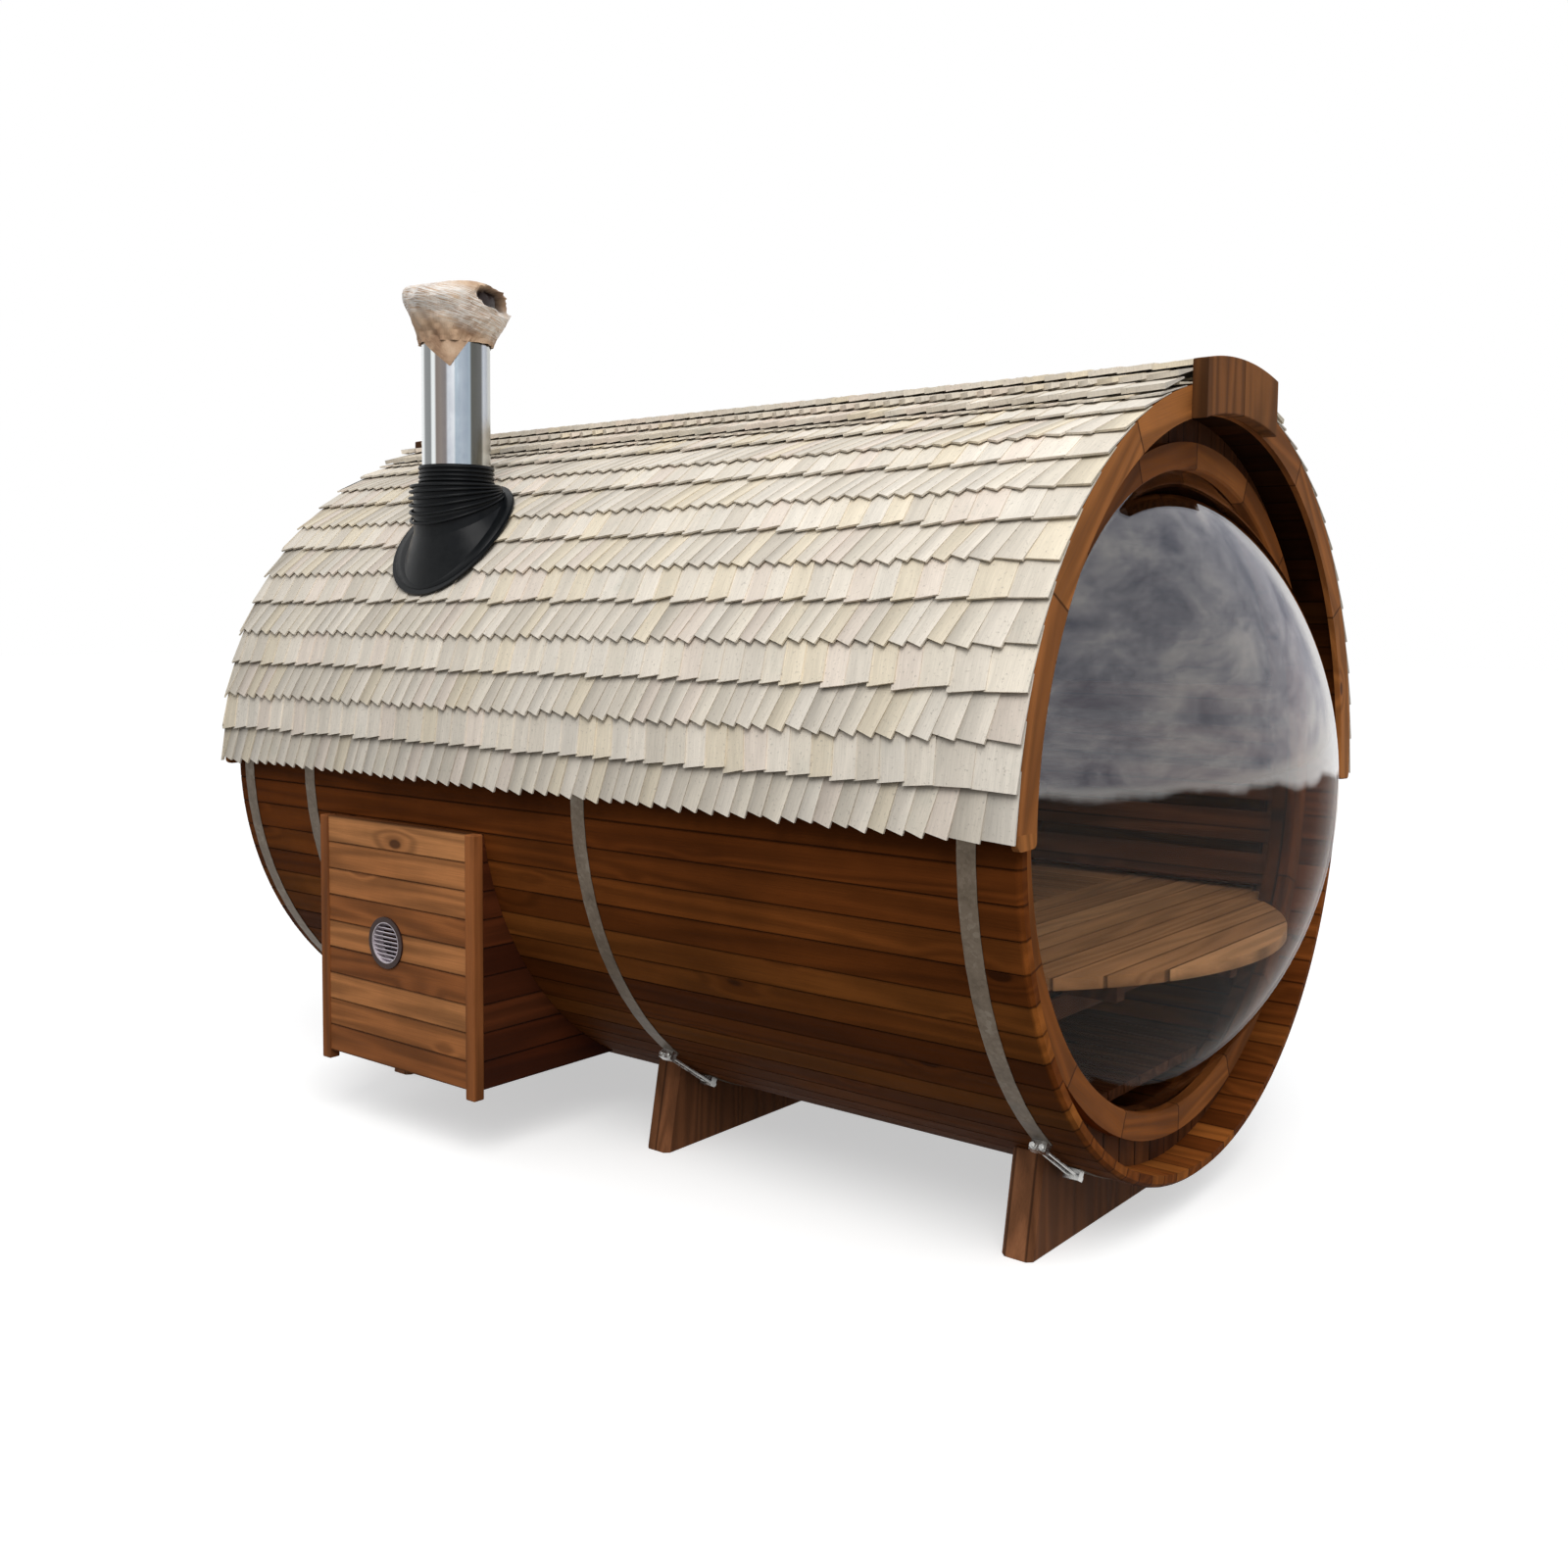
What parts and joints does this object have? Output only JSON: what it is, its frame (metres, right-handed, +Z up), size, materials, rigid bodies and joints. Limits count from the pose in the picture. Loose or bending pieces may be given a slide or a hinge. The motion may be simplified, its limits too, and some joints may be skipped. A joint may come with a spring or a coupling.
{
  "type": "barrel sauna",
  "caption": "Barrel sauna cabin lying on cradles, with a shingled roof, a clear bubble window at the front end, a side stove box and a wrapped chimney.",
  "frame": {"origin": "on the ground, under the middle of the whole object's box", "axes": "+Y along the barrel from the bubble end to the door end, +Z up, +X to the right seen from the bubble end; the stove box is on -X"},
  "size_m": [2.2082, 3.3356, 2.6161],
  "materials": {
    "stave_wood": "oiled heat-treated boards, satin",
    "hoop_steel": "galvanised band, dull grey",
    "zinc": "bright zinc plate",
    "cradle_wood": "oiled, sawn",
    "deck_wood": "sawn battens and boards",
    "shingle_wood": "raw pale aspen, matt",
    "fascia_wood": "oiled, satin",
    "wall_wood": "oiled boards, satin",
    "acrylic": "tinted clear acrylic, gloss",
    "ring_wood": "oiled, satin",
    "box_wood": "oiled boards with knots, satin",
    "post_wood": "oiled, satin",
    "vent_plastic": "lilac-grey slats in a dark brown flange",
    "flue_steel": "polished stainless",
    "boot_rubber": "black silicone rubber, semi-matt",
    "wrap_paper": "brown kraft paper under clear film",
    "bench_wood": "planed, unfinished, greyish tan",
    "backrest_wood": "planed, reddish brown",
    "door_metal": "black powder coat"
  },
  "bodies": {
    "root": {"backrest_ribs": "backrest_wood", "backrest_slats": "backrest_wood", "barrel_bottom_left": "stave_wood", "barrel_bottom_right": "stave_wood", "barrel_left_lower": "stave_wood", "barrel_left_upper": "stave_wood", "barrel_right_lower": "stave_wood", "barrel_right_upper": "stave_wood", "barrel_top_left": "stave_wood", "barrel_top_right": "stave_wood", "bench_frames": "bench_wood", "bench_front": "bench_wood", "bench_side": "bench_wood", "bubble_ring": "ring_wood", "bubble_window": "acrylic", "chimney_boot": "boot_rubber", "chimney_pipe": "flue_steel", "chimney_wrap": "wrap_paper", "cradle_front": "cradle_wood", "cradle_middle": "cradle_wood", "cradle_rear": "cradle_wood", "door_frame": "fascia_wood", "door_hardware": "door_metal", "door_leaf": "wall_wood", "floor_deck": "bench_wood", "front_fascia": "fascia_wood", "front_keystone": "fascia_wood", "front_wall_left": "wall_wood", "front_wall_right": "wall_wood", "hoop_end": "hoop_steel", "hoop_front": "hoop_steel", "hoop_middle": "hoop_steel", "hoop_rear": "hoop_steel", "hoop_tensioners": "zinc", "rear_fascia": "fascia_wood", "rear_keystone": "fascia_wood", "rear_wall_left": "wall_wood", "rear_wall_over_door": "wall_wood", "rear_wall_right": "wall_wood", "rear_wall_under_door": "wall_wood", "ridge_cap": "shingle_wood", "roof_deck": "deck_wood", "shingles_left": "shingle_wood", "shingles_right": "shingle_wood", "stove_box_bottom": "box_wood", "stove_box_front": "box_wood", "stove_box_posts": "post_wood", "stove_box_sides": "box_wood", "vent_grille": "vent_plastic"}
  },
  "joints": []
}
